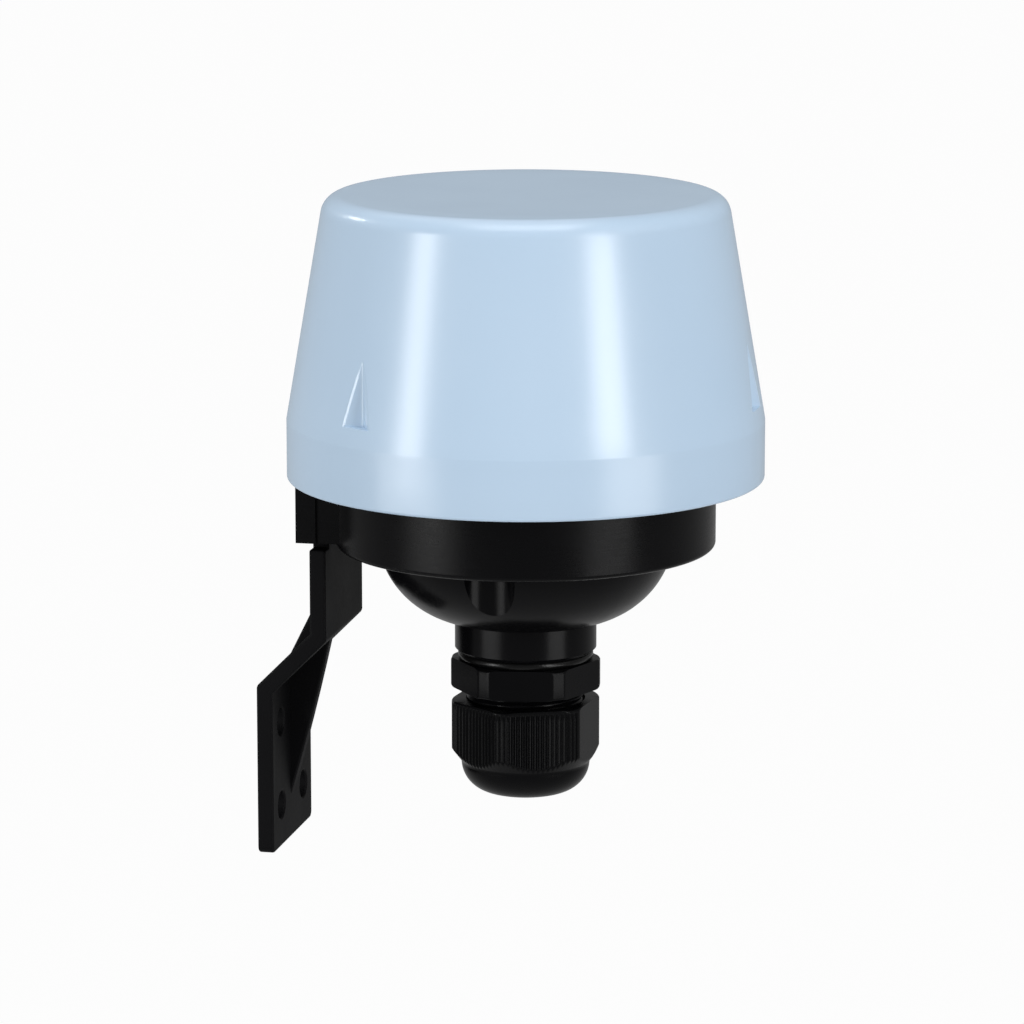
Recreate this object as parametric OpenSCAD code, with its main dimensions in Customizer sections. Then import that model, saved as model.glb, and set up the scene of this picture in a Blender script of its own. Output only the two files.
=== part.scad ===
// Photocell switch: a dome cover on a moulded base, a cable gland below and a plug-in wall bracket behind.
// The origin is the centre of the wall holes on the wall face. +Z is up, the wall is the plane y = 0
// and the front is -Y. Sizes are in millimetres.

/* [Wall bracket] */
// Width of the bracket's plates
plate_w = 25; // [24:0.5:32]
// Height of the lower plate on the wall
plate_h = 28; // [26:1:40]
// Thickness of the plates
plate_t = 2.7; // [2.2:0.1:3.2]
// Depth of the step from the lower plate to the upper one
plate_step = 9; // [8:0.5:14]
// Height of the upper plate between its fold and its shoulders
upper_h = 14; // [11:0.5:24]
// Width of the tongue that plugs into the base
tongue_w = 20; // [14:0.5:21]
// Length of the tongue above the shoulders
tongue_h = 11; // [9:0.5:11.5]
// Distance between the wall holes, across and down
hole_pitch = 14; // [12:0.5:16]
// Diameter of the wall holes
hole_d = 4.5; // [3.5:0.1:5]
// Thickness of the webs that stiffen the folds
web_t = 2.5; // [1.5:0.1:3.5]
// Height of the front web's foot above the lower plate's edge
web_foot = 2.7; // [2:0.1:8]
// Distance of the front web's head down the fold from the upper plate
web_inset = 2.2; // [0.5:0.1:4]
// Reach of the back web along the fold, up and down
web_rise = 6.5; // [4:0.1:7.5]

/* [Base] */
// Diameter of the base's ring
ring_d = 61.4; // [60:0.2:63]
// Height from the ring's foot to the cover's rim
ring_h = 11.2; // [10.5:0.1:16]
// Wall thickness of the base
base_wall = 2.4; // [2:0.1:2.8]
// Diameter of the bowl under the ring
bowl_d = 48.2; // [46:0.2:50]
// Radius of the bowl's rounded side
bowl_arc = 14.8; // [14:0.1:16.5]
// Diameter of the neck below the bowl
neck_d = 23; // [22.4:0.1:25]
// Distance from the ring's foot down to the end of the neck
neck_drop = 17.4; // [16:0.2:22]
// Radius of the half-round wells that the cover screws sit in
well_r = 4.3; // [3.6:0.1:4.8]
// Depth of the wells above the ring's foot
well_sink = 3; // [2.6:0.1:5]
// Height of the socket's foot above the ring's foot
socket_lift = 1.2; // [1:0.1:4]
// Wall thickness of the socket beside the tongue
socket_wall = 1.4; // [1.2:0.1:2]
// Wall thickness of the socket behind the tongue
socket_back = 1.8; // [1.4:0.1:2.4]

/* [Cover] */
// Diameter of the cover at its rim
cover_d = 77; // [76:0.5:80]
// Diameter of the cover's top, before its edge is rounded
cover_top_d = 64.6; // [62:0.2:68]
// Height of the cover
cover_h = 45.8; // [42:0.2:60]
// Height of the straight band above the rim
band_h = 9.6; // [9:0.1:14]
// Wall thickness of the cover
cover_wall = 1.8; // [1.5:0.1:2.2]
// Radius of the cover's top edge
cover_edge_r = 3.3; // [2.5:0.1:6]
// Height of the notches' ledges above the band
ledge_lift = 3; // [1:0.1:6]
// Width of each upright notch at its ledge
recess_w = 5.8; // [4:0.2:9]
// Height of each notch from its ledge to its point
recess_h = 11.1; // [8:0.1:16]
// Diameter of the cover's two screw posts
post_d = 7; // [6:0.2:7.4]
// Cross-section of the rubber ring in the base's groove
seal_d = 1.7; // [1.4:0.1:1.9]

/* [Cable gland] */
// Diameter of the thread that screws into the neck
stub_d = 18.6; // [17:0.1:19]
// Length of that thread above the hexagon
stub_l = 9.2; // [8.5:0.1:12]
// Thickness of the washer under the neck
washer_t = 1.4; // [1:0.1:2]
// Width across the flats of the hexagons
wrench_w = 22; // [21.6:0.1:23]
// Diameter over the hexagons' rounded corners
corner_d = 24.3; // [23.4:0.1:25]
// Height of the gland body's hexagon
hex_h = 4.9; // [4:0.1:7]
// Diameter of the thread that takes the nut
clamp_d = 19.2; // [18.6:0.1:19.6]
// Length of that thread below the hexagon
clamp_l = 7.1; // [6.4:0.1:8]
// Open gap between the hexagon and the nut
nut_gap = 1.8; // [1.7:0.1:3]
// Height of the nut's hexagon
nut_h = 8.2; // [7.6:0.1:10]
// Height of the cone below the nut's hexagon
nut_cone_h = 2.2; // [1.6:0.1:3]
// Diameter of the nut's dome where the cone ends
dome_d = 20.9; // [20:0.1:21.4]
// Height of the nut's dome
dome_h = 5; // [4.4:0.1:6]
// Distance between the grip grooves on the nut's sides
groove_pitch = 0.85; // [0.7:0.05:1.5]
// Depth of the grip grooves
groove_depth = 0.3; // [0.2:0.05:0.5]
// Diameter of the mouth in the nut's dome
mouth_d = 12; // [10.5:0.1:12.6]
// Inside diameter of the rubber sleeve that grips the cable
cable_d = 9; // [6:0.1:9.4]

/* [Electronics] */
// Thickness of the circuit board
board_t = 1.6; // [1:0.1:2]
// Length of the relay
relay_l = 19; // [15:0.5:20]
// Width of the relay
relay_w = 15.4; // [12:0.2:16.4]
// Height of the relay
relay_h = 15.3; // [12:0.1:24]
// Length of the film capacitor
film_l = 13; // [10:0.5:15]
// Thickness of the film capacitor
film_w = 6; // [4:0.2:7]
// Height of the film capacitor
film_h = 12; // [9:0.5:16]
// Diameter of the electrolytic can
can_d = 8; // [6:0.1:8.6]
// Height of the electrolytic can
can_h = 12; // [9:0.5:20]
// Diameter of the varistor's disc
varistor_d = 9; // [7:0.2:10]
// Thickness of the varistor's disc
varistor_t = 3.6; // [3:0.1:5]
// Diameter of the light sensor's disc
sensor_d = 5; // [4:0.1:6.5]
// Height of the light sensor's middle above the board
sensor_h = 16; // [10:0.5:24]
// Diameter of a resistor's body
resistor_d = 2.8; // [2:0.1:3.2]
// Length of a resistor's body
resistor_l = 7; // [5:0.1:7.6]
// Diameter of a diode's body
diode_d = 2.4; // [2:0.1:2.7]
// Length of a diode's body
diode_l = 5; // [4:0.1:5.4]
// Diameter of the transistor's case
transistor_d = 4.8; // [4:0.1:5.4]
// Distance between the poles of the terminal block
pole_pitch = 5; // [4.6:0.1:5.6]
// Depth of the terminal block
block_d = 8; // [7:0.1:9]
// Height of the terminal block
block_h = 10; // [9:0.1:13]

/* [Hidden] */
$fn = 96;

// Overrun of a cut past the face that it opens
cut = 1;
// Gap round a piece that is pushed into another by hand
slip = 0.15;
// Gap between a thread's crest and its bore
thread_gap = 0.1;
// Gap that a moving piece runs with
run_gap = 0.2;

// The bracket: its fold stands at 45 degrees, so a fold's inner and outer corners differ by fold_shift
fold_shift = plate_t * tan(22.5);
fold_z = plate_h / 2 + plate_step;
shoulder_z = fold_z + upper_h;
tongue_back = -plate_step;
tongue_front = -plate_step - plate_t;
plate_corner_r = 1.2;

// Heights of the unit, from the ring's foot up
base_z = shoulder_z;
rim_z = base_z + ring_h;
floor_z = base_z + base_wall;
flange_lift = 1;
flange_z = rim_z + flange_lift;
board_z = flange_z + base_wall;
board_top = board_z + board_t;
spigot_top = rim_z + band_h - slip;

// The ring's wall gives way to the tongue by this much, which sets how far the unit stands off the wall
tongue_bite = 0.4;
ring_r = ring_d / 2;
wall_gap = ring_r + plate_step + plate_t - tongue_bite;

// The base inside the cover
cover_in_r = cover_d / 2 - cover_wall;
spigot_r = cover_in_r - run_gap;
spigot_t = 2.4;
groove_r = cover_in_r - seal_d - slip;
groove_w = seal_d + 2 * slip;
groove_z = (board_z + spigot_top) / 2;
post_z = base_z + well_sink + base_wall;
ring_edge_r = 0.8;
bowl_c = bowl_d / 2 - bowl_arc;
neck_z = base_z - neck_drop;
neck_chamfer = 0.5;

// The cover, with its screws, stands a little turned from square to the bracket
cover_turn = -2.3;
cover_lean = atan((cover_d - cover_top_d) / 2 / (cover_h - band_h));

// Each notch has an upright inner edge at recess_r, from which its two sides spread to the cover's outside
recess_angles = [-90, 30, 150];
ledge_h = band_h + ledge_lift;
ledge_r = cover_d / 2 - ledge_lift * tan(cover_lean);
recess_r = ledge_r - recess_h * tan(cover_lean);
recess_spread = atan(recess_w / 2 / (sqrt(pow(ledge_r, 2) - pow(recess_w / 2, 2)) - recess_r));

// Screws
post_gap = 0.4;
post_x = ring_r - base_wall - post_gap - post_d / 2;
cover_screw = [3, 5.6, 2.2, 12];
board_screw = [2.4, 4.4, 1.6, 8];
boss_angles = [90, 210, 330];
boss_r = 2.8;
boss_at = ring_r - base_wall - 2.3;

// The gland, from the neck's end down
hex_top = neck_z - washer_t;
hex_z = hex_top - hex_h;
clamp_z = hex_z - clamp_l;
nut_top = hex_z - nut_gap;
nut_z = nut_top - nut_h;
cone_z = nut_z - nut_cone_h;
dome_z = cone_z - dome_h;
bore_r = 7;
hex_turn = 38;
nut_turn = 52.5;
hex_chamfer = 0.5;

// The sleeve and its cage ride on the cone inside the nut
seat_r = clamp_d / 2 - 0.5;
cage_top = clamp_z - nut_gap;
cage_ring_h = 1.4;
cage_slots = 8;
cage_slot_w = 1.6;
seal_r = bore_r - run_gap;
seal_l = 9;

// Moves what is drawn round the unit's own axis to its place in front of the wall
module at_axis(z = 0) translate([0, -wall_gap, z]) children();

// Turns a flat shape drawn in depth and height into an upright slab, centred on the bracket's middle
module upright(width) rotate([90, 0, 90]) linear_extrude(width, center = true) children();

// A pan-head screw with its head under z = 0 and its shank upwards: [shank, head, head height, length]
module pan_screw(size) {
    slot_w = size[1] / 6;
    difference() {
        union() {
            cylinder(d = size[0] - 2 * thread_gap, h = size[3]);
            rotate_extrude() pan_head_outline(size[1] / 2, size[2]);
        }
        for (turn = [0, 90])
            rotate(turn)
                translate([-size[1] / 3, -slot_w / 2, -size[2] - cut])
                    cube([size[1] / 1.5, slot_w, cut + size[2] / 2]);
    }
}

// Half section of a pan head below z = 0, with a rounded rim
module pan_head_outline(r, h) {
    rim = h / 2;
    translate([0, -h]) square([r - rim, h]);
    translate([0, -h + rim]) square([r, h - rim]);
    translate([r - rim, -h + rim]) circle(rim);
}

// Six-sided prism between two heights, as wide as a wrench takes
module wrench_prism(foot, top)
    translate([0, 0, foot]) cylinder(d = wrench_w / cos(30), h = top - foot, $fn = 6);

// Half section of the cover's outside, moved inwards by inset, with its foot at -foot
module cover_outline(inset, foot) {
    r = cover_d / 2 - inset;
    top = cover_h - inset;
    lean_in = tan(cover_lean) - 1 / cos(cover_lean);
    edge = cover_edge_r - inset;
    edge_x = cover_top_d / 2 + (inset + edge) * lean_in;
    polygon([
        [0, -foot], [r, -foot], [r, band_h - inset * tan(cover_lean / 2)],
        [edge_x + edge * cos(cover_lean), top - edge + edge * sin(cover_lean)],
        [edge_x, top], [0, top]
    ]);
    translate([edge_x, top - edge]) circle(edge);
}

// The upright wedge of one notch, grown by wall on its sides and its ledge
module notch_wedge(wall) {
    tip = recess_r - wall / sin(recess_spread);
    reach = cover_d / 2 + cut;
    side = (reach - tip) * tan(recess_spread);
    translate([0, 0, ledge_h - wall])
        linear_extrude(cover_h - cover_edge_r - ledge_h) polygon([[tip, 0], [reach, -side], [reach, side]]);
}

// Milky dome, open below, with three notches on ledges round its side and two posts that stand in the base
module cover() {
    color("lightsteelblue") at_axis(rim_z) rotate(cover_turn) difference() {
        union() {
            difference() {
                rotate_extrude() cover_outline(0, 0);
                rotate_extrude() cover_outline(cover_wall, cut);
            }
            intersection() {
                rotate_extrude() cover_outline(cover_wall / 2, 0);
                for (turn = recess_angles) rotate(turn) notch_wedge(cover_wall);
            }
            for (side = [-1, 1])
                translate([side * post_x, 0, post_z - rim_z])
                    cylinder(d = post_d, h = rim_z - post_z + cover_h - cover_wall / 2);
        }
        for (turn = recess_angles) rotate(turn) notch_wedge(0);
        for (side = [-1, 1])
            translate([side * post_x, 0, post_z - rim_z - cut])
                cylinder(d = cover_screw[0], h = cover_screw[3] + cut);
    }
}

// Rubber ring that closes the gap between the cover and the base's spigot
module cover_seal() {
    color("dimgray") at_axis(groove_z)
        rotate_extrude() translate([groove_r + slip / 2 + seal_d / 2, 0]) circle(d = seal_d);
}

// Half section of the base's outside: spigot, flange, ring, bowl and neck
module base_outline() {
    translate([0, flange_z]) square([spigot_r, spigot_top - flange_z]);
    translate([0, base_z + ring_edge_r]) square([ring_r, flange_z - base_z - ring_edge_r]);
    translate([0, base_z]) square([ring_r - ring_edge_r, ring_h]);
    translate([ring_r - ring_edge_r, base_z + ring_edge_r]) circle(ring_edge_r);
    intersection() {
        bowl_section(bowl_arc);
        translate([0, floor_z - bowl_arc]) square([bowl_d / 2, bowl_arc]);
    }
    polygon([
        [0, neck_z], [neck_d / 2 - neck_chamfer, neck_z], [neck_d / 2, neck_z + neck_chamfer],
        [neck_d / 2, floor_z - bowl_arc / 2], [0, floor_z - bowl_arc / 2]
    ]);
}

// Half section of the bowl's round side and flat middle, with the given radius about the same centre
module bowl_section(arc) {
    translate([bowl_c, floor_z]) circle(arc);
    translate([0, floor_z - arc]) square([bowl_c, arc]);
}

// Half section of the space inside the ring and the bowl
module ring_hollow() {
    translate([0, floor_z]) square([ring_r - base_wall, board_z - floor_z + cut]);
    intersection() {
        bowl_section(bowl_arc - base_wall);
        translate([0, floor_z - bowl_arc]) square([bowl_d / 2, bowl_arc + cut]);
    }
}

// Upright cylinders on the axes of the two screw wells, from below the bowl up to a height
module wells(r, top) {
    for (side = [-1, 1])
        rotate(cover_turn) translate([side * post_x, 0, neck_z]) cylinder(r = r, h = top - neck_z);
}

// Plan of the socket: a block that grows out of the ring round the tongue, with a wider outer lip
module socket_plan() {
    half = tongue_w / 2 + slip + socket_wall * 2;
    outer = tongue_back + slip + socket_back;
    lip = 0.4;
    lip_y = (tongue_front + tongue_back) / 2;
    difference() {
        union() {
            translate([-half, -wall_gap]) square([2 * half, wall_gap + outer]);
            translate([-half - lip, lip_y]) square([2 * (half + lip), outer - lip_y]);
        }
        translate([0, -wall_gap]) circle(ring_r - base_wall / 2);
    }
}

// The socket's block: whole up to the cover's rim, and trimmed to fit inside it above
module socket_block() {
    foot = base_z + socket_lift;
    lap = (foot + rim_z) / 2;
    translate([0, 0, foot]) linear_extrude(rim_z - run_gap - foot) socket_plan();
    translate([0, 0, lap]) linear_extrude(flange_z - lap) intersection() {
        socket_plan();
        translate([0, -wall_gap]) circle(spigot_r - run_gap);
    }
}

// Space for the tongue and its barb in the socket
module socket_hollow() {
    translate([-tongue_w / 2 - slip, tongue_front - slip, base_z])
        cube([tongue_w + 2 * slip, plate_t + 2 * slip, tongue_h + slip]);
    translate([-barb_w / 2 - slip, tongue_back, barb_z - slip])
        cube([barb_w + 2 * slip, slip + socket_back + cut, barb_h + 2 * slip]);
}

// The barb stands on the tongue's back and springs into a window in the socket's outer wall
barb_w = 8;
barb_h = 3;
barb_out = 1.1;
barb_z = base_z + (socket_lift + tongue_h - barb_h) / 2;

// Black moulding that carries the cover, the board, the gland and the bracket's tongue
module base() {
    color("#1c1d20") difference() {
        union() {
            at_axis() rotate_extrude() base_outline();
            socket_block();
        }
        at_axis() difference() {
            rotate_extrude() ring_hollow();
            wells(well_r + base_wall, post_z);
            for (turn = boss_angles) rotate(turn) translate([boss_at, 0, floor_z - cut])
                cylinder(r = boss_r, h = board_z - floor_z + 3 * cut);
        }
        at_axis() {
            translate([0, 0, board_z]) cylinder(r = spigot_r - spigot_t, h = spigot_top - board_z + cut);
            wells(well_r, base_z + well_sink);
            wells(cover_screw[0] / 2, post_z + cut);
            translate([0, 0, neck_z - cut]) cylinder(d = stub_d + 2 * thread_gap, h = neck_drop);
            for (turn = boss_angles)
                rotate(turn) translate([boss_at, 0, board_z - board_screw[3]])
                    cylinder(d = board_screw[0], h = board_screw[3] + cut);
            rotate_extrude() translate([groove_r, groove_z - groove_w / 2])
                square([spigot_r - groove_r + cut, groove_w]);
        }
        socket_hollow();
    }
}

// Two screws with their heads up in the wells, driven into the cover's posts
module cover_screws() {
    color("silver") for (side = [-1, 1])
        at_axis(base_z + well_sink) rotate(cover_turn) translate([side * post_x, 0, 0]) pan_screw(cover_screw);
}

// Front outline of the bracket: plates with rounded lower corners, shoulders and the tongue
module bracket_outline() {
    r = plate_corner_r;
    translate([-plate_w / 2, r - plate_h / 2]) square([plate_w, shoulder_z + plate_h / 2 - r]);
    translate([r - plate_w / 2, -plate_h / 2]) square([plate_w - 2 * r, 2 * r]);
    for (side = [-1, 1]) translate([side * (plate_w / 2 - r), r - plate_h / 2]) circle(r);
    translate([-tongue_w / 2, shoulder_z - r]) square([tongue_w, tongue_h + r]);
}

// Side section of the bracket's two plates, its 45 degree fold and the tongue
module bracket_section() {
    polygon([
        [0, -plate_h / 2], [0, plate_h / 2], [tongue_back, fold_z], [tongue_back, shoulder_z + tongue_h],
        [tongue_front, shoulder_z + tongue_h], [tongue_front, fold_z - fold_shift],
        [-plate_t, plate_h / 2 - fold_shift], [-plate_t, -plate_h / 2]
    ]);
}

// Side section of the front web: it fills the lower fold, with its free edge bowed slightly outwards
module front_web_section() {
    foot = [-plate_t / 2, -plate_h / 2 + web_foot];
    head = [tongue_front + web_inset, fold_z - fold_shift - web_inset];
    bow = 0.3;
    chord = norm(head - foot);
    r = chord * chord / bow / 8 + bow / 2;
    middle = (head + foot) / 2;
    inwards = [head[1] - foot[1], foot[0] - head[0]] / chord;
    intersection() {
        translate(middle + inwards * (r - bow)) circle(r, $fn = 720);
        polygon([
            foot, foot - [2 * plate_step, 0], head - [2 * plate_step, 0], head,
            [-plate_t / 2, plate_h / 2 - fold_shift]
        ]);
    }
}

// Side section of the back web in the upper fold
module back_web_section() {
    polygon([
        [tongue_back - plate_t / 2, fold_z + web_rise], [tongue_back, fold_z + web_rise],
        [tongue_back + web_rise, fold_z - web_rise], [tongue_back - plate_t / 2, fold_z - plate_t]
    ]);
}

// Black moulded bracket: a stepped plate with webs in its folds, four wall holes and a barbed tongue
module wall_bracket() {
    color("#222326") difference() {
        union() {
            intersection() {
                upright(plate_w + 2 * cut) bracket_section();
                rotate([90, 0, 0]) linear_extrude(2 * wall_gap, center = true) bracket_outline();
            }
            upright(web_t) front_web_section();
            upright(web_t) back_web_section();
            upright(barb_w) polygon([
                [tongue_back - plate_t / 2, barb_z], [tongue_back + barb_out, barb_z],
                [tongue_back, barb_z + barb_h], [tongue_back - plate_t / 2, barb_z + barb_h]
            ]);
        }
        for (x = [-1, 1], z = [-1, 1])
            translate([x * hole_pitch / 2, cut, z * hole_pitch / 2])
                rotate([90, 0, 0]) cylinder(d = hole_d, h = plate_t + 2 * cut);
    }
}

// Flat rubber washer between the neck and the gland's hexagon
module gland_washer() {
    color("#101012") at_axis(hex_top) difference() {
        cylinder(d = neck_d - 2 * neck_chamfer, h = washer_t);
        translate([0, 0, -cut]) cylinder(d = stub_d + 2 * thread_gap, h = washer_t + 2 * cut);
    }
}

// Half section of the body's hexagon: its rounded corners and bevelled rims
module hexagon_outline() {
    r = corner_d / 2;
    polygon([
        [0, hex_z], [r - hex_chamfer, hex_z], [r, hex_z + hex_chamfer], [r, hex_top - hex_chamfer],
        [r - hex_chamfer, hex_top], [0, hex_top]
    ]);
}

// Gland body: threaded stub above, hexagon in the middle, thread for the nut below, bored through
module gland_body() {
    color("#1a1b1d") at_axis() difference() {
        union() {
            translate([0, 0, hex_z + cut]) cylinder(d = stub_d, h = hex_h - cut + stub_l);
            intersection() {
                rotate_extrude() hexagon_outline();
                rotate(hex_turn) wrench_prism(hex_z - cut, hex_top + cut);
            }
            translate([0, 0, clamp_z]) cylinder(d = clamp_d, h = clamp_l + 2 * cut);
        }
        translate([0, 0, clamp_z - cut]) cylinder(r = bore_r, h = clamp_l + hex_h + stub_l + 2 * cut);
    }
}

// Half section of the nut's outside: bevelled top, the hexagon's corners, the cone and the dome
module nut_outline() {
    r = corner_d / 2;
    flat_r = dome_d / 2 - dome_h;
    polygon([
        [0, dome_z], [flat_r, dome_z], [dome_d / 2, cone_z], [r, nut_z], [r, nut_top - hex_chamfer],
        [r - hex_chamfer, nut_top], [0, nut_top]
    ]);
    intersection() {
        translate([flat_r, cone_z]) circle(dome_h);
        translate([0, dome_z]) square([dome_d / 2, dome_h]);
    }
}

// Half section of the space inside the nut: thread, cone and mouth
module nut_hollow() {
    r = clamp_d / 2 + thread_gap;
    translate([0, cage_foot]) square([r, nut_top - cage_foot + cut]);
    polygon([[0, cage_foot], [seat_r, cage_foot], [mouth_d / 2, mouth_z], [0, mouth_z]]);
    translate([0, dome_z - cut]) square([mouth_d / 2, mouth_z - dome_z + 2 * cut]);
}

// Where the cage's ring ends and the cone inside the nut begins, and where that cone meets the mouth
cage_foot = cage_top - cage_ring_h;
mouth_z = cage_foot - (seat_r - mouth_d / 2) * 1.6;

// Row of half-round grip grooves down one side of the nut, as many as fit between the rounded corners
module grip_grooves() {
    half = sqrt(pow(corner_d, 2) - pow(wrench_w, 2)) / 2;
    last = floor(half / groove_pitch - 0.5);
    for (i = [-last - 0.5 : last + 0.5])
        translate([wrench_w / 2, i * groove_pitch, cone_z]) cylinder(r = groove_depth, h = nut_top - cone_z + cut);
}

// Hexagonal dome nut that turns on the gland body's thread, with two plain sides and four grooved ones
module gland_nut() {
    color("#1e1f22") at_axis() difference() {
        intersection() {
            rotate_extrude() nut_outline();
            rotate(nut_turn) wrench_prism(dome_z - cut, nut_top + cut);
        }
        rotate_extrude() nut_hollow();
        for (side = [1, 2, 4, 5]) rotate(nut_turn + 30 + 60 * side) grip_grooves();
    }
}

// Half section of the clamping cage: a ring that stands in the nut, with its fingers down the nut's cone
module cage_outline() {
    inner = seal_r + run_gap / 2;
    finger = mouth_z + (cage_foot - mouth_z) / 4;
    tip_r = mouth_d / 2 + (seat_r - mouth_d / 2) / 4;
    polygon([
        [inner, cage_top], [seat_r, cage_top], [seat_r, cage_foot + run_gap],
        [tip_r, finger + run_gap], [tip_r - 1, finger + run_gap], [inner, cage_foot]
    ]);
}

// Slotted clamping cage that the nut's cone squeezes round the sleeve
module gland_claw() {
    color("#3a3b3e") at_axis() difference() {
        rotate_extrude() cage_outline();
        for (i = [0 : cage_slots - 1])
            rotate(i * 360 / cage_slots)
                translate([0, -cage_slot_w / 2, dome_z])
                    cube([corner_d, cage_slot_w, cage_foot - dome_z + cage_ring_h / 3]);
    }
}

// Rubber sleeve that is squeezed round the cable
module gland_seal() {
    color("#0c0c0d") at_axis(cage_foot) difference() {
        cylinder(r = seal_r, h = seal_l);
        translate([0, 0, -cut]) cylinder(d = cable_d, h = seal_l + 2 * cut);
    }
}

// Round board on the base's flange, with holes for the cover's posts, its own screws and the wires
module circuit_board() {
    wire_hole_d = 13;
    color("#2f6b3a") at_axis(board_z) difference() {
        cylinder(r = spigot_r - spigot_t - run_gap, h = board_t);
        translate([0, 0, -cut]) {
            cylinder(d = wire_hole_d, h = board_t + 2 * cut);
            for (side = [-1, 1]) rotate(cover_turn) translate([side * post_x, 0, 0])
                cylinder(d = post_d + 2 * run_gap, h = board_t + 2 * cut);
            for (turn = boss_angles) rotate(turn) translate([boss_at, 0, 0])
                cylinder(d = board_screw[0] + 2 * run_gap, h = board_t + 2 * cut);
        }
    }
}

// Three screws down through the board into the base's bosses
module board_screws() {
    color("silver") at_axis(board_top) for (turn = boss_angles)
        rotate(turn) translate([boss_at, 0, 0]) rotate([180, 0, 0]) pan_screw(board_screw);
}

// A wire leg up from the board
leg_d = 0.7;
module leg(x, y, height) translate([x, y, 0]) cylinder(d = leg_d, h = height);

// An axial part along X on two bent legs: body diameter and length
module axial_part(d, l) {
    lift = d / 2 + 0.5;
    span = l + 3;
    translate([0, 0, lift]) rotate([0, 90, 0]) {
        cylinder(d = d, h = l, center = true);
        cylinder(d = leg_d, h = span + leg_d, center = true);
    }
    for (side = [-1, 1]) leg(side * span / 2, 0, lift);
}

// Sealed relay on the wall side of the board
relay_y = 15.4;
module relay() {
    color("#1d3f7a") at_axis(board_top)
        translate([-relay_l / 2, relay_y - relay_w / 2, 0]) cube([relay_l, relay_w, relay_h]);
}

// Light-dependent resistor, facing the front on two tall legs
sensor_y = -28;
module light_sensor() {
    thick = 2;
    color("#c8b48a") at_axis(board_top) {
        translate([0, sensor_y + thick / 2, sensor_h])
            rotate([90, 0, 0]) cylinder(d = sensor_d, h = thick);
        for (side = [-1, 1]) leg(side * sensor_d / 4, sensor_y, sensor_h);
    }
}

// Boxed film capacitor that drops the mains voltage
film_at = [-15.5, -13];
module film_capacitor() {
    color("#b8a12c") at_axis(board_top)
        translate([film_at[0] - film_w / 2, film_at[1] - film_l / 2, 0]) cube([film_w, film_l, film_h]);
}

// Electrolytic can, with the rolled groove near its foot
can_at = [14.5, -15];
module smoothing_capacitor() {
    groove = can_d / 16;
    color("#23262c") at_axis(board_top) translate([can_at[0], can_at[1], 0]) difference() {
        cylinder(d = can_d, h = can_h);
        rotate_extrude() translate([can_d / 2, can_h / 8]) circle(groove, $fn = 24);
    }
}

// Varistor disc standing on two legs
varistor_at = [-19, 15];
module varistor() {
    lift = varistor_d / 2 + 1;
    color("#2c4fa0") at_axis(board_top) translate([varistor_at[0], varistor_at[1], 0]) {
        translate([0, varistor_t / 2, lift]) rotate([90, 0, 0]) cylinder(d = varistor_d, h = varistor_t);
        for (side = [-1, 1]) leg(side * varistor_d / 4, 0, lift);
    }
}

// Three resistors in a row
resistor_at = [18, 12];
resistor_step = 4;
module resistors() {
    color("#c9b27a") at_axis(board_top) for (i = [0 : 2])
        translate([resistor_at[0], resistor_at[1] + i * resistor_step, 0]) axial_part(resistor_d, resistor_l);
}

// Four diodes of the bridge, side by side
diode_step = 3.2;
diode_gap = 1.1;
diode_at = [post_x - (post_d + diode_d) / 2 - diode_gap - 3 * diode_step, -1];
module diodes() {
    color("#202124") at_axis(board_top) for (i = [0 : 3])
        translate([diode_at[0] + i * diode_step, diode_at[1], 0]) rotate(90) axial_part(diode_d, diode_l);
}

// Small transistor with a flat face, on three legs
transistor_at = [-14, 5];
module transistor() {
    lift = 2;
    legs = 1.27;
    color("#202124") at_axis(board_top) translate([transistor_at[0], transistor_at[1], 0]) {
        translate([0, 0, lift]) intersection() {
            cylinder(d = transistor_d, h = transistor_d);
            translate([-transistor_d / 2, -transistor_d / 4, 0]) cube(transistor_d);
        }
        for (i = [-1 : 1]) leg(i * legs, 0, lift + transistor_d / 2);
    }
}

// Places of the terminal block's poles, from its foot up
block_y = -17.5;
clamp_w = pole_pitch - 1.4;
clamp_h = block_h * 0.45;
clamp_foot = block_h * 0.1;
module at_poles() {
    at_axis(board_top) for (i = [-1 : 1]) translate([i * pole_pitch, block_y, 0]) children();
}

// Three-pole terminal block: a wire mouth and a screw shaft at each pole
module terminal_block() {
    color("#2f8f57") difference() {
        at_axis(board_top)
            translate([-1.55 * pole_pitch, block_y - block_d / 2, 0]) cube([3.1 * pole_pitch, block_d, block_h]);
        at_poles() {
            translate([-clamp_w / 2 - slip, -block_d / 4, clamp_foot])
                cube([clamp_w + 2 * slip, block_d, clamp_h + slip]);
            translate([0, 0, clamp_foot]) cylinder(d = clamp_w, h = block_h);
        }
    }
}

// Metal wire clamps inside the block, open towards the wires
module terminal_clamps() {
    wall = 0.6;
    depth = block_d * 0.6;
    color("gold") at_poles() translate([-clamp_w / 2, -block_d / 4 + slip, clamp_foot]) difference() {
        cube([clamp_w, depth, clamp_h]);
        translate([wall, -cut, wall]) cube([clamp_w - 2 * wall, depth + 2 * cut, clamp_h - 3 * wall]);
    }
}

// Slotted clamp screws in the block's shafts
module terminal_screws() {
    slot_w = 0.6;
    foot = clamp_foot + clamp_h;
    top = block_h - 1;
    color("silver") at_poles() difference() {
        translate([0, 0, foot]) cylinder(d = clamp_w - 2 * slip, h = top - foot);
        translate([-clamp_w, -slot_w / 2, top - slot_w]) cube([2 * clamp_w, slot_w, cut]);
    }
}

cover();
cover_seal();
base();
cover_screws();
wall_bracket();
gland_washer();
gland_body();
gland_claw();
gland_seal();
gland_nut();
circuit_board();
board_screws();
relay();
light_sensor();
film_capacitor();
smoothing_capacitor();
varistor();
resistors();
diodes();
transistor();
terminal_block();
terminal_clamps();
terminal_screws();
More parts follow.
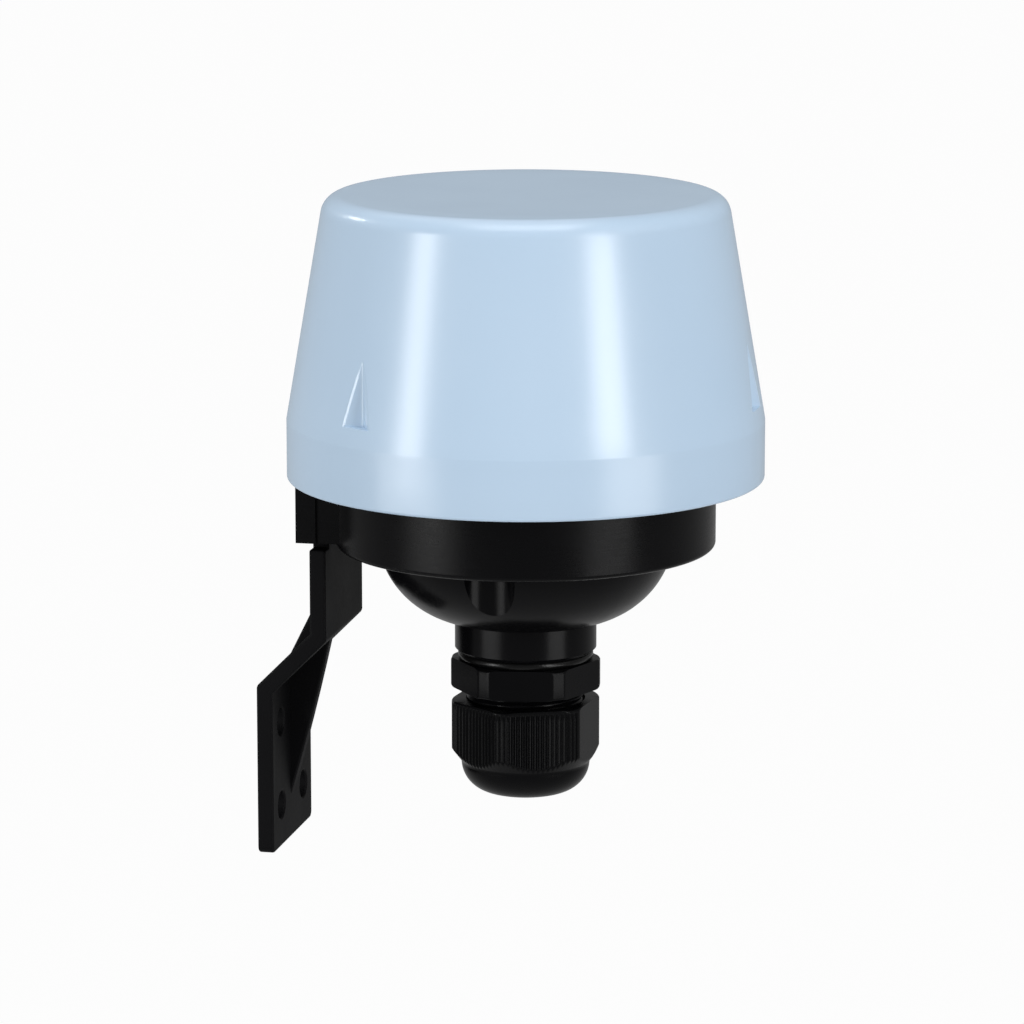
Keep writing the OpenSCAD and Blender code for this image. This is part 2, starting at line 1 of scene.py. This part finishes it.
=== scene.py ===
"""Looks of a photocell switch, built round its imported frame: surfaces, finishes and a small studio.

The object is in metres, with the wall at y = 0, the front towards -y and z up. Lengths of shapes are in
millimetres, as on a drawing, and become metres where a mesh is made. Lengths of finishes and of the studio
are in metres.
"""

import bmesh
import bpy
import numpy as np
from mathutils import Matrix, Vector


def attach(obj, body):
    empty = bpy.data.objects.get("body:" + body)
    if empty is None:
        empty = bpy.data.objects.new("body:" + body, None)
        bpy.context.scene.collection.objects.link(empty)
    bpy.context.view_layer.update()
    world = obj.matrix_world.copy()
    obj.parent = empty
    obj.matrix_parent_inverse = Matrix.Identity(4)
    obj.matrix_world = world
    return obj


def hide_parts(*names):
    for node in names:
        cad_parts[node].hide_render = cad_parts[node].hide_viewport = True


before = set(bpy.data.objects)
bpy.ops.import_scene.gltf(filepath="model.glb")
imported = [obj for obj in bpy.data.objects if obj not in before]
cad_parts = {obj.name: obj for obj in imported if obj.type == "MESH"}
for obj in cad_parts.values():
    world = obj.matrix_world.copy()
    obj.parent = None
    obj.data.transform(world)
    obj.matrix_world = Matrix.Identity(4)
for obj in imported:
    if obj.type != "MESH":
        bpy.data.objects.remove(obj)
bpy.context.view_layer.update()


# Base: one black moulding with its ring, bowl, screw wells, threaded neck and the bracket's socket.
# It is ABS from a mould with a fine spark-eroded grain, and handling has left hairlines round its ring.
class Wire:
    """An output in a material's nodes: arithmetic on it adds Math nodes, node() adds any other kind."""

    def __init__(self, tree, socket):
        self.tree, self.socket = tree, socket

    def node(self, kind, settings, sockets, output=0):
        """Adds a node: its settings first, then the values or wires of its input sockets."""
        made = self.tree.nodes.new(kind)
        for key, value in settings.items():
            setattr(made, key, value)
        for key, value in sockets.items():
            if isinstance(value, Wire):
                self.tree.links.new(value.socket, made.inputs[key])
            else:
                made.inputs[key].default_value = value
        return Wire(self.tree, made.outputs[output])

    def into(self, shader, socket):
        """Links this output to a socket of the shader."""
        self.tree.links.new(self.socket, shader.inputs[socket])

    def math(self, operation, *values):
        """The result of a Math node on those values or wires."""
        return self.node("ShaderNodeMath", {"operation": operation}, dict(enumerate(values)))

    def __add__(self, other):
        return self.math("ADD", self, other)

    def __mul__(self, other):
        return self.math("MULTIPLY", self, other)

    __radd__, __rmul__ = __add__, __mul__

    def noise(self, size, detail=2.0):
        """Cloudy noise on this vector, with lumps about size metres across, from 0 to 1."""
        return self.node("ShaderNodeTexNoise", {}, {"Vector": self, "Scale": 1 / size, "Detail": detail})

    def blend(self, low, high):
        """Colour between low and high, by this value as the share of high."""
        sockets = {0: self, 6: (*low, 1), 7: (*high, 1)}
        return self.node("ShaderNodeMix", {"data_type": "RGBA"}, sockets, output=2)

    def bump(self, depth):
        """Normal of a surface that this height, from 0 to 1, raises by depth metres."""
        return self.node("ShaderNodeBump", {}, {"Height": self, "Distance": depth, "Strength": 1.0})


def new_finish(name, **constants):
    """A material, its shader and the wire of its Object coordinates.

    The constants go on the shader's own sockets.
    """
    material = bpy.data.materials.new(name)
    material.use_nodes = True
    shader = material.node_tree.nodes["Principled BSDF"]
    for socket, value in constants.items():
        shader.inputs[socket.replace("_", " ")].default_value = value
    coordinates = material.node_tree.nodes.new("ShaderNodeTexCoord")
    return material, shader, Wire(material.node_tree, coordinates.outputs["Object"])


def black_moulding(name, colour, shine, roughness, grain, depth, scuffed_above=1.0):
    """Black plastic: a fine grain of that size and depth, with broad patches of shine and tone.

    Above a height, hairlines scuff and dull it: noise that is drawn out level, along x and y.
    """
    material, shader, place = new_finish(name, Specular_IOR_Level=shine)
    patches, pits = place.noise(0.012, 3.0), place.noise(grain, 2.0)
    patches.blend([0.7 * c for c in colour], [1.3 * c for c in colour]).into(shader, "Base Color")
    drawn_out = place.node("ShaderNodeMapping", {}, {"Vector": place, "Scale": (0.07, 0.07, 1)})
    height = place.node("ShaderNodeSeparateXYZ", {}, {0: place}, output=2)
    scuffs = drawn_out.noise(0.00025, 3.0) * height.math("GREATER_THAN", height, scuffed_above)
    (patches * 0.16 + pits * 0.08 + scuffs * 0.12 + (roughness - 0.12)).into(shader, "Roughness")
    (pits + scuffs).bump(depth).into(shader, "Normal")
    return material


def dress(node, material):
    """Puts a finish on a node of the frame whose shape is right as it is."""
    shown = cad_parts[node]
    shown.data.materials.clear()
    shown.data.materials.append(material)


ring_foot = 0.0372
base_plastic = black_moulding(
    "base_plastic", (0.0022, 0.0022, 0.0026), shine=0.09, roughness=0.23, grain=0.0005, depth=0.000006,
    scuffed_above=ring_foot,
)
dress("base", base_plastic)


# Rubber ring in the base's groove: a moulded cord that the cover's band squeezes.
# Black nitrile, dull, with a bloom of talc on it.
def rubber(name, bloom, roughness):
    """Black rubber, with patches that a pale bloom has greyed and dulled."""
    material, shader, place = new_finish(name, Specular_IOR_Level=0.2)
    dust = place.noise(0.003, 4.0)
    dust.blend((0.003, 0.003, 0.003), (bloom, bloom, bloom)).into(shader, "Base Color")
    (dust * 0.15 + roughness).into(shader, "Roughness")
    place.noise(0.0004).bump(0.00002).into(shader, "Normal")
    return material


seal_rubber = rubber("seal_rubber", bloom=0.008, roughness=0.65)
dress("cover_seal", seal_rubber)


# Circuit board: round glass laminate under a green solder mask, screwed down on the base's flange.
# Copper areas show faintly through the mask, with straight and slanting edges.
mask_green, copper_green = (0.014, 0.10, 0.036), (0.030, 0.175, 0.06)
board_laminate, shader, place = new_finish("board_laminate", Roughness=0.38, Coat_Weight=0.2)
copper_grid = {"Vector": place, "Scale": 170, "Randomness": 0.85}
areas = place.node("ShaderNodeTexVoronoi", {"distance": "CHEBYCHEV"}, copper_grid, output=1)
copper = areas.math("GREATER_THAN", areas, 0.47)  # by each cell's random colour, read as a grey
(copper * 0.7 + place.noise(0.006, 3.0) * 0.3).blend(mask_green, copper_green).into(shader, "Base Color")
place.noise(0.0006).bump(0.00001).into(shader, "Normal")
dress("circuit_board", board_laminate)


# Parts soldered to the board: relay, light sensor, capacitors, varistor, resistors, diodes, transistor and
# terminal block. Their cases are moulded, dipped or lacquered, each in its trade's usual colour, and the
# boxy ones have eased edges.
MM = 0.001


def component_case(name, colour, roughness):
    """A small moulded or dipped case: its colour varies by the share mottle, with a slight orange peel."""
    mottle = 0.12
    material, shader, place = new_finish(name)
    tone = place.noise(0.002, 3.0)
    pale, deep = [c * (1 + mottle) for c in colour], [c * (1 - mottle) for c in colour]
    tone.blend(deep, pale).into(shader, "Base Color")
    (tone * 0.2 + (roughness - 0.1)).into(shader, "Roughness")
    place.noise(0.0005).bump(0.00001).into(shader, "Normal")
    return material


def stand_in(mesh, crease, material, body, node):
    """A piece that shows a mesh in place of a node, smooth but for edges sharper than crease degrees."""
    mesh.shade_smooth()
    mesh.set_sharp_from_angle(angle=np.radians(crease))
    mesh.materials.append(material)
    piece = bpy.data.objects.new(mesh.name, mesh)
    bpy.context.scene.collection.objects.link(piece)
    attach(piece, body)
    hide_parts(node)
    return piece


def eased(name, node, width, material, body):
    """A merged copy of a node, which stands for it, with its outer edges rounded over that width."""
    crease = 30
    work = bmesh.new()
    work.from_mesh(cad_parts[node].data)
    bmesh.ops.remove_doubles(work, verts=work.verts, dist=1e-6)
    bmesh.ops.dissolve_limit(work, angle_limit=np.radians(0.5), verts=work.verts, edges=work.edges)
    outer = [edge for edge in work.edges if edge.is_convex and edge.calc_face_angle() > np.radians(crease)]
    bmesh.ops.bevel(
        work, geom=outer, offset=width * MM, segments=3, profile=0.5, affect="EDGES", clamp_overlap=False
    )
    mesh = bpy.data.meshes.new(name)
    work.to_mesh(mesh)
    work.free()
    piece = stand_in(mesh, crease, material, body, node)
    piece.modifiers.new("flat_faces", "WEIGHTED_NORMAL").keep_sharp = True


for nodes, slot, colour, roughness, edge in [
    (["relay"], "relay_case", (0.03, 0.12, 0.45), 0.35, 0.6),
    (["light_sensor"], "sensor_ceramic", (0.62, 0.45, 0.24), 0.45, 0),
    (["film_capacitor"], "film_case", (0.62, 0.48, 0.06), 0.5, 0.4),
    (["smoothing_capacitor"], "can_sleeve", (0.02, 0.02, 0.025), 0.3, 0),
    (["varistor"], "varistor_coat", (0.05, 0.12, 0.45), 0.4, 0),
    (["resistors"], "resistor_coat", (0.62, 0.47, 0.25), 0.45, 0),
    (["diodes", "transistor"], "diode_case", (0.02, 0.02, 0.02), 0.55, 0),
    (["terminal_block"], "terminal_plastic", (0.05, 0.35, 0.14), 0.5, 0.15),
]:
    case = component_case(slot, colour, roughness)
    for node in nodes:
        if edge:
            eased(f"{node}_moulding", node, edge, case, "housing")
        else:
            dress(node, case)


# Screws and wire clamps: the cover's and the board's screws, the terminal block's screws and clamps.
# Zinc-plated steel and bright brass, with the fine marks of rolling and of tumbling in the barrel.
def plated_metal(name, low, high, roughness):
    """Plated metal: its tone drifts between low and high, and fine marks break up its shine."""
    material, shader, place = new_finish(name, Metallic=1.0)
    marks = place.noise(0.0007, 4.0)
    marks.blend(low, high).into(shader, "Base Color")
    (marks * 0.25 + (roughness - 0.1)).into(shader, "Roughness")
    marks.bump(0.000008).into(shader, "Normal")
    return material


screw_steel = plated_metal("screw_steel", (0.50, 0.50, 0.48), (0.68, 0.68, 0.67), roughness=0.3)
clamp_brass = plated_metal("clamp_brass", (0.62, 0.45, 0.18), (0.78, 0.60, 0.30), roughness=0.25)
for node in ["cover_screws", "board_screws", "terminal_screws"]:
    dress(node, screw_steel)
dress("terminal_clamps", clamp_brass)


# Cover: a milky dome with a straight band, a tapered side, a rounded top edge and three upright notches.
# Polypropylene filled with white, from a polished mould, so it is glossy with a trace of orange peel.
# Two posts inside take the screws that come up through the base's wells.
UNIT_AXIS = np.array([0.0, -42.0])


def arc(middle, radius, start, end, count):
    """Points (r, z) on a circle about middle, from one angle to another, in degrees."""
    turn = np.radians(np.linspace(start, end, count))
    return np.stack([middle[0] + radius * np.cos(turn), middle[1] + radius * np.sin(turn)], 1)


def turned(profile, columns, axis=UNIT_AXIS):
    """Grid of a profile of (r, z) points turned about an upright axis: (r cos a, r sin a, z)."""
    profile = np.asarray(profile, float)
    turn = np.linspace(0, 2 * np.pi, columns, endpoint=False)
    r, z = profile[:, :1], np.repeat(profile[:, 1:], columns, 1)
    return np.stack([axis[0] + r * np.cos(turn), axis[1] + r * np.sin(turn), z], -1)


def skin(name, shells, material, body, node):
    """A piece that stands for a node, with a closed skin for each pair (grid of points [row, column], ring).

    Columns close round the axis. The rows of a ring close too; the others end in poles, where a row's
    points meet.
    """
    crease = 42
    points, quads, first = [], [], 0
    for grid, ring in shells:
        index = first + np.arange(grid.shape[0] * grid.shape[1]).reshape(grid.shape[:2])
        rows = np.vstack([index, index[:1]]) if ring else index
        a, b = rows[:-1], rows[1:]
        quads.append(np.stack([a, np.roll(a, -1, 1), np.roll(b, -1, 1), b], -1).reshape(-1, 4))
        points.append(grid.reshape(-1, 3) * MM)
        first += grid.shape[0] * grid.shape[1]
    mesh = bpy.data.meshes.new(name)
    mesh.from_pydata(np.vstack(points).tolist(), [], np.vstack(quads).tolist())
    work = bmesh.new()
    work.from_mesh(mesh)
    bmesh.ops.remove_doubles(work, verts=work.verts, dist=1e-7)
    bmesh.ops.recalc_face_normals(work, faces=work.faces)
    work.to_mesh(mesh)
    work.free()
    stand_in(mesh, crease, material, body, node)


rim_z, cover_r, top_r, cover_h, band_h = 48.2, 38.5, 32.3, 45.8, 9.6
cover_wall, edge_r, rim_round, lip_round, cover_turn = 1.8, 3.3, 0.5, 0.3, -2.3
ledge_h, ledge_rise = 12.6, 0.08
notch_h, notch_w, notch_edge, notch_valley = 11.1, 5.8, 0.22, 0.2
lean = np.arctan((cover_r - top_r) / (cover_h - band_h))
ledge_r = cover_r - (ledge_h - band_h) * np.tan(lean)
notch_r = ledge_r - notch_h * np.tan(lean)
notch_slope = (np.sqrt(ledge_r**2 - (notch_w / 2) ** 2) - notch_r) / (notch_w / 2)


def dome_side(inset):
    """(r, z) from the middle of the top to the foot of the band, for the outside moved inwards by inset.

    The side is r = band's r - (z - band's z) * tan(lean). Its rows crowd along the notch and at the ledge.
    """
    corner = edge_r - inset
    corner_x = top_r + edge_r * (np.tan(lean) - 1 / np.cos(lean))
    flat = np.stack([np.linspace(0, corner_x, 7), np.full(7, cover_h - inset)], 1)
    bend = arc((corner_x, cover_h - edge_r), corner, 90, np.degrees(lean), 16)[1:]
    r_band, z_band = cover_r - inset, band_h - inset * np.tan(lean / 2)
    foot, point = ledge_h - inset, ledge_h + notch_h + inset
    heights = np.concatenate([
        np.linspace(bend[-1, 1], point + 0.6, 6)[1:],
        np.linspace(point + 0.3, foot + 0.6, 34),
        foot + np.array([0.3, 0.12, 0.04, 0.0, -0.04, -0.12, -0.3]),
        [z_band + 0.05],
    ])
    side = np.stack([r_band - (heights - z_band) * np.tan(lean), heights], 1)
    band = np.array([[r_band, z_band - 0.05], [r_band, z_band - 0.5], [r_band, z_band / 2]])
    return np.vstack([flat, bend, side, band])


# A notch has columns of its own in a sector of the dome, out to this angle on either side of its middle.
SECTOR = np.radians(9.0)


def notched(rows, depth, foot):
    """Lateral and forward distances t and f, per row and column, in the sector round one upright notch.

    The notch's sides run as f = depth + slope * sqrt(t^2 + valley^2), and the dome as f = sqrt(r^2 - t^2).
    They meet at about t*, where a narrow chamfer joins them. Below the ledge at foot there is the dome alone.
    """
    r, z = rows[:, :1], rows[:, 1:]
    slope, edge = notch_slope, r * np.sin(SECTOR)
    reach = (depth * slope) ** 2 + (1 + slope**2) * (r**2 - depth**2)
    meet = (np.sqrt(np.maximum(reach, 0)) - depth * slope) / (1 + slope**2)
    meet = np.clip(meet, np.minimum(0.4, 0.3 * edge), 0.8 * edge)
    bevel = np.minimum(notch_edge, 0.22 * meet)
    start, end = -1.06, 0.94  # of the chamfer, counted in bevels from t*
    near = np.array([-2.0, -1.3, start, -0.85, 0.75, end, 1.2, 1.8])
    beyond = meet + bevel * near[-1]
    side = np.concatenate([
        meet * np.array([0.05, 0.12, 0.25, 0.45]),
        meet + bevel * near,
        beyond + (edge - beyond) * np.array([0.15, 0.4, 0.7, 1.0]),
    ], 1)
    lateral = np.concatenate([-side[:, ::-1], 0 * r, side], 1)

    def dome(t):
        """Forward distance of the dome's skin."""
        return np.sqrt(np.maximum(r**2 - t**2, 0))

    def wall(t):
        """Forward distance of the notch's side."""
        return depth + slope * np.sqrt(t**2 + notch_valley**2)

    low, high = wall(meet + start * bevel), dome(meet + end * bevel)
    across = np.clip((abs(lateral) - meet - start * bevel) / ((end - start) * bevel + 1e-9), 0, 1)
    chamfer = low + (high - low) * across
    cut = np.where(across <= 0, wall(lateral), np.where(across >= 1, dome(lateral), chamfer))
    share = np.clip((z - foot) / ledge_rise + 0.5, 0, 1)
    return lateral, dome(lateral) + np.minimum(cut - dome(lateral), 0) * share


outside, inside = dome_side(0.0), dome_side(cover_wall)[::-1]
rim = np.vstack([
    arc((cover_r - rim_round, rim_round), rim_round, 0, -90, 8),
    arc((cover_r - cover_wall + lip_round, lip_round), lip_round, -90, -180, 4),
])
notch_in = notch_r - cover_wall * np.sqrt(1 + notch_slope**2)
sectors = [
    notched(outside, notch_r, ledge_h),
    notched(rim, cover_r, cover_h),
    notched(inside, notch_in, ledge_h - cover_wall),
]
lateral, forward = (np.vstack(values) for values in zip(*sectors))
rows = np.vstack([outside, rim, inside])
notch_bearings = np.radians(np.array([-90, 30, 150]) + cover_turn)
columns = []
for middle in notch_bearings:
    ahead, aside = np.array([np.cos(middle), np.sin(middle)]), np.array([-np.sin(middle), np.cos(middle)])
    columns.append(forward[..., None] * ahead + lateral[..., None] * aside)
    turn = middle + np.linspace(SECTOR, np.radians(120) - SECTOR, 48)[1:-1]
    columns.append(rows[:, :1, None] * np.stack([np.cos(turn), np.sin(turn)], -1))
plan = np.concatenate(columns, 1) + UNIT_AXIS
shell = np.concatenate([plan, np.repeat(rows[:, 1:, None] + rim_z, plan.shape[1], 1)], -1)

post_x, post_r, post_bore, post_foot, post_depth, post_bevel, drill_tip = 24.4, 3.5, 1.5, 42.4, 12.0, 0.2, 0.6
post_top = rim_z + cover_h - cover_wall / 2
post = [
    (0, post_top), (post_r, post_top), (post_r, post_foot + post_bevel), (post_r - post_bevel, post_foot),
    (post_bore, post_foot), (post_bore, post_foot + post_depth), (0, post_foot + post_depth + drill_tip),
]
post_way = post_x * np.array([np.cos(np.radians(cover_turn)), np.sin(np.radians(cover_turn))])
posts = [(turned(post, 32, UNIT_AXIS + side * post_way), False) for side in (-1, 1)]

milky_cover, shader, place = new_finish("milky_cover", Specular_IOR_Level=0.56, IOR=1.49)
cloud, peel = place.noise(0.03, 2.0), place.noise(0.0016, 1.0)
cloud.blend((0.440, 0.578, 0.730), (0.480, 0.612, 0.755)).into(shader, "Base Color")
(cloud * 0.06 + 0.22).into(shader, "Roughness")
peel.bump(0.000006).into(shader, "Normal")
skin("cover_shell", [(shell, False), *posts], milky_cover, "housing", "cover")


# Cable gland: a rubber washer with a round rim, a body with two threads and a hexagon with cut corners,
# and a ribbed dome nut. Black nylon with a satin skin, screwed up into the neck.
# The sleeve that grips the cable is rubber, and its cage is nylon too.
gland_nylon = black_moulding(
    "gland_nylon", (0.0022, 0.0022, 0.0026), shine=0.075, roughness=0.26, grain=0.0003, depth=0.000004
)
dress("gland_seal", seal_rubber)
dress("gland_claw", gland_nylon)

neck_foot, hex_top, hex_foot, clamp_foot, stub_top = 19.6, 18.2, 13.3, 6.2, 27.4
washer_bore, washer_r = 9.5, 11.0
washer_rim = (neck_foot - hex_top) / 2
washer = np.vstack([
    [(washer_bore, hex_top), (washer_bore, neck_foot)],
    arc((washer_r - washer_rim, hex_top + washer_rim), washer_rim, 90, -90, 13),
])
washer_rubber = rubber("washer_rubber", bloom=0.004, roughness=0.16)
washer_shell = (turned(washer, 144), True)
skin("gland_washer_ring", [washer_shell], washer_rubber, "housing", "gland_washer")

flat_r, corner_r, hex_bevel = 11.0, 12.15, 0.5
thread_pitch, thread_depth = 1.5, 0.55


def hexagon(turn, first_flat):
    """Distance to a hexagon's flats, flat_r / cos(angle from the flat's middle), and that angle.

    The first flat's bearing is in degrees.
    """
    off = (turn - np.radians(first_flat) + np.pi / 6) % (np.pi / 3) - np.pi / 6
    return flat_r / np.cos(off), off


def polar(heights, radius, turn):
    """Grid of points at radius[row, column] from the unit's axis, at each row's height and column's angle."""
    z = np.repeat(heights[:, None], len(turn), 1)
    return np.stack([UNIT_AXIS[0] + radius * np.cos(turn), UNIT_AXIS[1] + radius * np.sin(turn), z], -1)


def thread_cut(heights, turn):
    """Share of a right-hand thread's depth that is cut away.

    It is a trapezoid wave of height / pitch - turn / full turn.
    """
    wave = abs(2 * ((heights[:, None] / thread_pitch - turn / (2 * np.pi)) % 1) - 1)
    return np.clip(1.5 * wave - 0.25, 0, 1)


stub_r, clamp_r, bore_r, stub_bevel, clamp_bevel, run_out = 9.3, 9.6, 7.0, 0.8, 0.7, 0.15
body_flat, cut_half = 68.0, np.radians(5)
around = np.radians(body_flat + 30) + np.linspace(0, 2 * np.pi, 288, endpoint=False)
body_rows = np.vstack([
    [(bore_r, stub_top), (stub_r - stub_bevel, stub_top), (stub_r, stub_top - stub_bevel)],
    np.stack([np.full(48, stub_r), np.linspace(stub_top - stub_bevel - 0.1, hex_top + run_out, 48)], 1),
    arc((corner_r - hex_bevel, hex_top - hex_bevel), hex_bevel, 90, 0, 6),
    arc((corner_r - hex_bevel, hex_foot + hex_bevel), hex_bevel, 0, -90, 6),
    np.stack([np.full(40, clamp_r), np.linspace(hex_foot - run_out, clamp_foot + clamp_bevel, 40)], 1),
    [(clamp_r - clamp_bevel, clamp_foot), (bore_r, clamp_foot)],
    np.stack([np.full(4, bore_r), np.linspace(clamp_foot + 2, stub_top - 2, 4)], 1),
])
threaded = (body_rows[:, 0] == stub_r) | (body_rows[:, 0] == clamp_r)
body_r = np.repeat(body_rows[:, :1], len(around), 1)
body_r = body_r - thread_depth * thread_cut(body_rows[:, 1], around) * threaded[:, None]
flats, off = hexagon(around, body_flat)
# Each corner is cut flat, as far as cut_half to either side of its middle, where corner_r is reached.
corner = corner_r * np.cos(cut_half) / np.cos(np.pi / 6 - abs(off))
hexagonal = np.minimum(corner + body_r - corner_r, flats)
body_r = np.where(body_rows[:, :1] > clamp_r, hexagonal, body_r)
body_shell = (polar(body_rows[:, 1], body_r, around), True)
skin("gland_body_moulding", [body_shell], gland_nylon, "housing", "gland_body")


def soft_min(a, b, blend):
    """The smaller of two lengths, with the crease between them rounded over blend."""
    share = np.clip(0.5 + 0.5 * (b - a) / blend, 0, 1)
    return b + (a - b) * share - blend * share * (1 - share)


nut_top, nut_foot, cone_foot, nut_bore, seat_r, seat_z = 11.5, 3.3, 1.1, 9.7, 9.1, 3.0
dome_r, dome_h, dome_sweep, mouth_r, mouth_z = 10.45, 5.0, 80.8, 6.0, -1.96
nut_flat, smooth_half, nut_blend = 82.5, np.radians(27), 0.2
ribs_per_side, rib_depth, rib_start, rib_rise = 15, 0.34, 0.35, 0.4
dome_foot = cone_foot - dome_h
around = np.linspace(0, 2 * np.pi, 1080, endpoint=False)
nut_rows = np.vstack([
    [(nut_bore, nut_top), (flat_r - 0.6, nut_top)],
    arc((corner_r - hex_bevel, nut_top - hex_bevel), hex_bevel, 90, 0, 7),
    np.stack([np.full(9, corner_r), np.linspace(nut_top - hex_bevel - 0.3, nut_foot + 0.2, 9)], 1),
    np.stack([np.linspace(corner_r, dome_r, 10), np.linspace(nut_foot, cone_foot, 10)], 1),
    arc((dome_r - dome_h, cone_foot), dome_h, 0, -dome_sweep, 18)[1:],
    [(mouth_r + 0.1, dome_foot + 0.04), (mouth_r, dome_foot + 0.16), (mouth_r, mouth_z)],
    [(seat_r, seat_z), (nut_bore, seat_z + 0.05), (nut_bore, nut_top - 0.3)],
])
flats, off = hexagon(around, nut_flat)
outline = soft_min(np.minimum(flats, corner_r + 2 * nut_blend), np.full_like(flats, corner_r), nut_blend)
# The ribs are evenly spaced along the outline: run is the length along it from the middle of a side.
corner_off = np.arccos(flat_r / corner_r)
half_flat = flat_r * np.tan(corner_off)
round_corner = np.sign(off) * (half_flat + corner_r * (abs(off) - corner_off))
run = np.where(abs(off) < corner_off, flat_r * np.tan(off), round_corner)
side_run = 2 * (half_flat + corner_r * (np.pi / 6 - corner_off))
groove = (0.5 - 0.5 * np.cos(2 * np.pi * (run / side_run + 0.5) * ribs_per_side)) ** 0.8
# Two opposite sides stay smooth between their corners.
side = np.floor((around - np.radians(nut_flat) + np.pi / 6) / (np.pi / 3)).astype(int) % 3
groove = groove * np.where((side == 0) & (abs(off) < smooth_half), 0, 1)
fade = np.clip((nut_top - rib_start - nut_rows[:, 1]) / rib_rise, 0, 1)
ribbed = outline[None, :] - rib_depth * groove[None, :] * fade[:, None]
nut_r = np.repeat(nut_rows[:, :1], len(around), 1)
outer = (nut_rows[:, 0] > nut_bore) & (nut_rows[:, 1] >= cone_foot)
nut_r = np.where(outer[:, None], soft_min(nut_r, ribbed, nut_blend), nut_r)
nut_shell = (polar(nut_rows[:, 1], nut_r, around), True)
skin("gland_nut_moulding", [nut_shell], gland_nylon, "nut", "gland_nut")


# Wall bracket: a stepped plate with webs in its folds, four screw holes and a barbed tongue, which plugs
# into the base's socket. The same black plastic as the base, but from a duller mould, with eased edges.
bracket_edge = 0.4
bracket_plastic = black_moulding(
    "bracket_plastic", (0.0035, 0.0035, 0.004), shine=0.06, roughness=0.56, grain=0.0006, depth=0.000014
)
eased("bracket_moulding", "wall_bracket", bracket_edge, bracket_plastic, "housing")


# Studio: a white floor far below the object, strip lights either side of the camera with wide low ones
# under them, soft boxes in front, overhead and behind, and a small light behind on the left.
# A grey surround fills the rest, and the camera is that of the photograph.
def floor_of(half_size, height, mirrored, glow):
    """A square floor that the camera sees as white, by the share glow, and that still takes a soft shadow.

    Mirror surfaces see the share mirrored of that white.
    """
    mesh = bpy.data.meshes.new("floor")
    corners = half_size * np.array([(-1, -1), (1, -1), (1, 1), (-1, 1)])
    mesh.from_pydata([(x, y, height) for x, y in corners.tolist()], [], [(0, 1, 2, 3)])
    material = bpy.data.materials.new("floor_paper")
    material.use_nodes = True
    tree = material.node_tree
    tree.nodes.remove(tree.nodes["Principled BSDF"])
    path = tree.nodes.new("ShaderNodeLightPath").outputs
    kinds = ["Camera", "Transmission", "Glossy"]
    direct, passed, glossy = (Wire(tree, path[f"Is {kind} Ray"]) for kind in kinds)
    seen = direct.math("MAXIMUM", direct, passed)
    seen = seen.math("MAXIMUM", seen, mirrored * glossy)
    paper = seen.node("ShaderNodeBsdfDiffuse", {}, {"Color": (0.85, 0.85, 0.85, 1)})
    white = seen.node("ShaderNodeEmission", {}, {"Color": (1, 1, 1, 1), "Strength": 1.0})
    mixed = seen.node("ShaderNodeMixShader", {}, {0: seen * glow, 1: paper, 2: white})
    mixed.into(tree.nodes["Material Output"], "Surface")
    mesh.materials.append(material)
    floor = bpy.data.objects.new("floor", mesh)
    bpy.context.scene.collection.objects.link(floor)


floor_of(half_size=30.0, height=-0.9, mirrored=0.2, glow=0.97)

camera_at, camera_aim = Vector((-0.7671, -0.2051, 0.1999)), Vector((-0.00046, -0.03983, 0.04215))
camera_data = bpy.data.cameras.new("camera")
camera_data.sensor_width, camera_data.lens = 36.0, 174.05
camera = bpy.data.objects.new("camera", camera_data)
camera.location = camera_at
camera.rotation_euler = (camera_aim - camera_at).to_track_quat("-Z", "Y").to_euler()
bpy.context.scene.collection.objects.link(camera)
bpy.context.scene.camera = camera

# The lamps are soft boxes aimed at the cover. A bearing is in degrees from the camera's, and positive to
# the left.
lamp_aim = Vector((*UNIT_AXIS * MM, 0.07))
to_camera = camera_at - lamp_aim
for name, bearing, elevation, distance, width, height, watts in [
    ("strip_left", 56.3, 6, 0.9, 0.2, 0.5, 3.1),
    ("strip_right", -41, 16, 0.9, 0.24, 0.6, 2.4),
    ("strip_right_low", -41, 7.5, 0.88, 0.26, 0.12, 0.75),
    ("strip_left_foot", 58, -14, 0.9, 0.5, 0.22, 1.0),
    ("strip_right_foot", -51, -13, 0.9, 0.44, 0.3, 1.5),
    ("front_fill", -65, 36, 1.6, 1.2, 1.2, 2.4),
    ("overhead", 0, 80, 1.5, 1.0, 1.0, 10.8),
    ("back_fill", 165, 58, 1.6, 1.0, 1.0, 2.6),
    ("rim_light", 121, 26, 1.2, 0.17, 0.12, 1.4),
]:
    turn = np.arctan2(to_camera.y, to_camera.x) - np.radians(bearing)
    rise = np.radians(elevation)
    way = Vector((np.cos(turn) * np.cos(rise), np.sin(turn) * np.cos(rise), np.sin(rise)))
    data = bpy.data.lights.new(name, "AREA")
    data.shape, data.size, data.size_y, data.energy = "RECTANGLE", width, height, watts
    light = bpy.data.objects.new(name, data)
    light.location = lamp_aim + way * distance
    light.rotation_euler = way.to_track_quat("Z", "Y").to_euler()
    bpy.context.scene.collection.objects.link(light)

surround_grey = (0.29, 0.29, 0.29, 1)
world = bpy.data.worlds.new("surround")
world.use_nodes = True
world.node_tree.nodes["Background"].inputs["Color"].default_value = surround_grey
bpy.context.scene.world = world
bpy.context.scene.view_settings.view_transform = "Standard"
